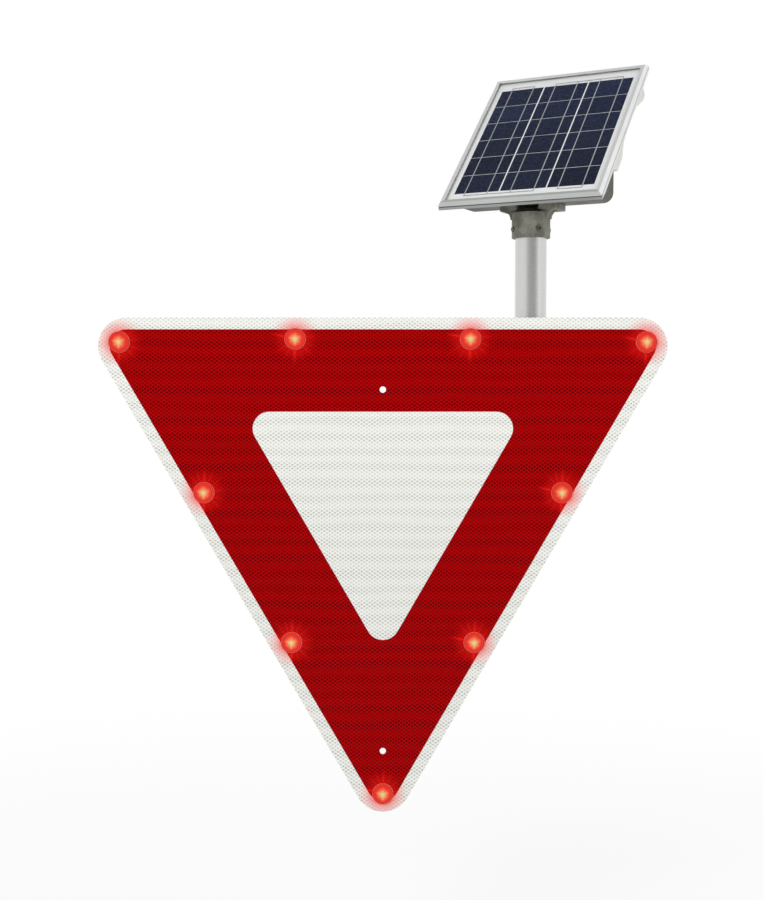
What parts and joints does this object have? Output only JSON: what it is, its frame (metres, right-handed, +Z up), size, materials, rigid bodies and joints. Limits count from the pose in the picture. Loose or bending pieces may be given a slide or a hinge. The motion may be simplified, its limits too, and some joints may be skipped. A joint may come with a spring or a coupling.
{
  "type": "give way sign",
  "caption": "Point-down triangular give way sign with a red border, lamps round its edge and a tilted solar panel with its battery box on a short mast.",
  "frame": {"origin": "on the back of the blade, midway between its two post bolt holes", "axes": "+Z up, the face looks along -Y, +X to the right of someone who faces the sign"},
  "size_m": [0.8514, 0.3302, 1.1526],
  "materials": {
    "blade_aluminium": "mill finish",
    "white_sheeting": "prismatic retroreflective",
    "red_overlay": "transparent film on prismatic sheet",
    "lamp_lens": "clear red",
    "lamp_body": "satin",
    "lamp_emitter": "clear dome",
    "lamp_nut": "satin",
    "mast": "satin",
    "plug": "satin",
    "stainless": "satin",
    "tape": "foam",
    "cast_fitter": "weathered casting",
    "screw_steel": "zinc",
    "box_paint": "painted casting",
    "gasket": "matt",
    "sheet_aluminium": "mill finish",
    "rail_paint": "powder-coated sheet",
    "battery_sleeve": "shrink sleeve",
    "circuit_board": "solder mask",
    "black_rubber": "matt",
    "black_nylon": "satin",
    "frame_anodised": "anodised",
    "corner_key": "satin",
    "panel_glass": "low-iron",
    "solar_cell": "polycrystalline",
    "ribbon": "tinned",
    "backsheet": "white laminate"
  },
  "bodies": {
    "sign": {"blade": "blade_aluminium", "white_sheeting": "white_sheeting", "red_overlay": "red_overlay", "lamp_emitters": "lamp_emitter", "lamp_nuts": "lamp_nut", "mast": "mast", "mast_plug": "plug", "mast_plate": "sheet_aluminium", "plate_tape": "tape", "strap_upper": "stainless", "strap_lower": "stainless", "strap_studs": "stainless", "strap_nuts": "stainless", "lamp_lens_1": "lamp_lens", "lamp_body_1": "lamp_body", "lamp_lens_2": "lamp_lens", "lamp_body_2": "lamp_body", "lamp_lens_3": "lamp_lens", "lamp_body_3": "lamp_body", "lamp_lens_4": "lamp_lens", "lamp_body_4": "lamp_body", "lamp_lens_5": "lamp_lens", "lamp_body_5": "lamp_body", "lamp_lens_6": "lamp_lens", "lamp_body_6": "lamp_body", "lamp_lens_7": "lamp_lens", "lamp_body_7": "lamp_body", "lamp_lens_8": "lamp_lens", "lamp_body_8": "lamp_body", "lamp_lens_9": "lamp_lens", "lamp_body_9": "lamp_body"},
    "solar_head": {"slip_fitter": "cast_fitter", "set_screws": "screw_steel", "fitter_bolts": "stainless", "box_body": "box_paint", "box_gasket": "gasket", "mount_plate": "sheet_aluminium", "plate_screws": "stainless", "battery_pack": "battery_sleeve", "charge_board": "circuit_board", "wire_grommet": "black_rubber", "plate_gland": "black_nylon", "rail_upper": "rail_paint", "rail_lower": "rail_paint", "rail_bolts": "stainless", "rail_nuts": "stainless", "frame_bolts": "stainless", "frame_nuts": "stainless", "frame_top": "frame_anodised", "frame_bottom": "frame_anodised", "frame_left": "frame_anodised", "frame_right": "frame_anodised", "corner_keys": "corner_key", "glass": "panel_glass", "backsheet": "backsheet", "solar_cells": "solar_cell", "cell_ribbons": "ribbon", "junction_shell": "black_nylon", "junction_lid": "black_nylon"}
  },
  "joints": [
    {"name": "head_swivel", "type": "hinge", "parent": "sign", "child": "solar_head", "pos_m": [0.2243, 0.03, 0.52], "axis": [0, 0, 1], "continuous": true}
  ]
}
